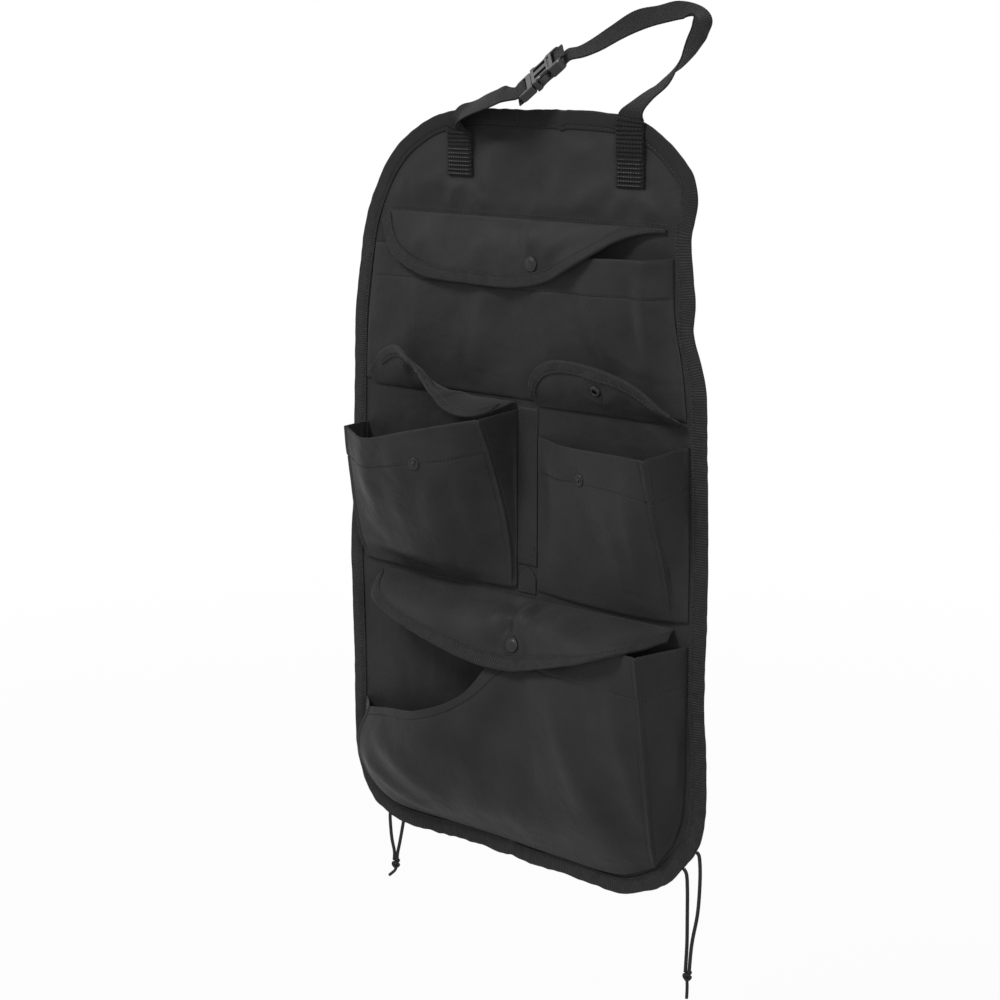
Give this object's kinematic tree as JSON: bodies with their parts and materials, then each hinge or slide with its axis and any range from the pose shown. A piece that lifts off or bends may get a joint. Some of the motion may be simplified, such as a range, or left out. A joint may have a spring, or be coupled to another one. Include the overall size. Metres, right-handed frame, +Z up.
{
  "type": "car organizer",
  "caption": "Fabric seat-back organizer: a bound panel with flap pockets, hung by a webbing strap with a side-release buckle, with elastic ties below.",
  "frame": {"origin": "centre of the panel's flat back face, which rests on the seat back", "axes": "+X to the right seen from the front, +Y into the seat back, +Z up"},
  "size_m": [0.3863, 0.1436, 0.7938],
  "materials": {
    "fabric": "woven polyester, plain weave, soft sheen",
    "binding_tape": "ribbed woven tape",
    "webbing": "ribbed woven webbing",
    "buckle_plastic": "satin moulded plastic",
    "press_stud": "black coated metal",
    "elastic_cord": "braided round elastic"
  },
  "bodies": {
    "panel": {"back_panel": "fabric", "top_pocket": "fabric", "top_flap": "fabric", "mid_left_pocket": "fabric", "mid_left_flap": "fabric", "mid_right_pocket": "fabric", "mid_right_flap": "fabric", "centre_strip": "fabric", "seam_tab": "fabric", "lower_pocket": "fabric", "lower_flap": "fabric", "edge_binding": "binding_tape", "top_flap_binding": "binding_tape", "mid_left_flap_binding": "binding_tape", "mid_right_flap_binding": "binding_tape", "lower_flap_binding": "binding_tape", "strap_left": "webbing", "strap_right": "webbing", "buckle_socket": "buckle_plastic", "top_snap_cap": "press_stud", "top_snap_socket": "press_stud", "top_snap_stud": "press_stud", "top_snap_post": "press_stud", "mid_left_snap_cap": "press_stud", "mid_left_snap_socket": "press_stud", "mid_left_snap_stud": "press_stud", "mid_left_snap_post": "press_stud", "mid_right_snap_cap": "press_stud", "mid_right_snap_socket": "press_stud", "mid_right_snap_stud": "press_stud", "mid_right_snap_post": "press_stud", "lower_snap_cap": "press_stud", "lower_snap_socket": "press_stud", "lower_snap_stud": "press_stud", "lower_snap_post": "press_stud", "left_cord_outer": "elastic_cord", "left_cord_inner": "elastic_cord", "left_cord_knot": "elastic_cord", "left_cord_end": "elastic_cord", "right_cord_outer": "elastic_cord", "right_cord_inner": "elastic_cord", "right_cord_knot": "elastic_cord", "right_cord_end": "elastic_cord"},
    "buckle_plug": {"buckle_plug": "buckle_plastic"}
  },
  "joints": [
    {"name": "buckle_release", "type": "slide", "parent": "panel", "child": "buckle_plug", "axis": [-0.6668, -0.3329, -0.6668], "range_m": [0, 0.026], "deforming": ["buckle_plug", "strap_left"]}
  ]
}
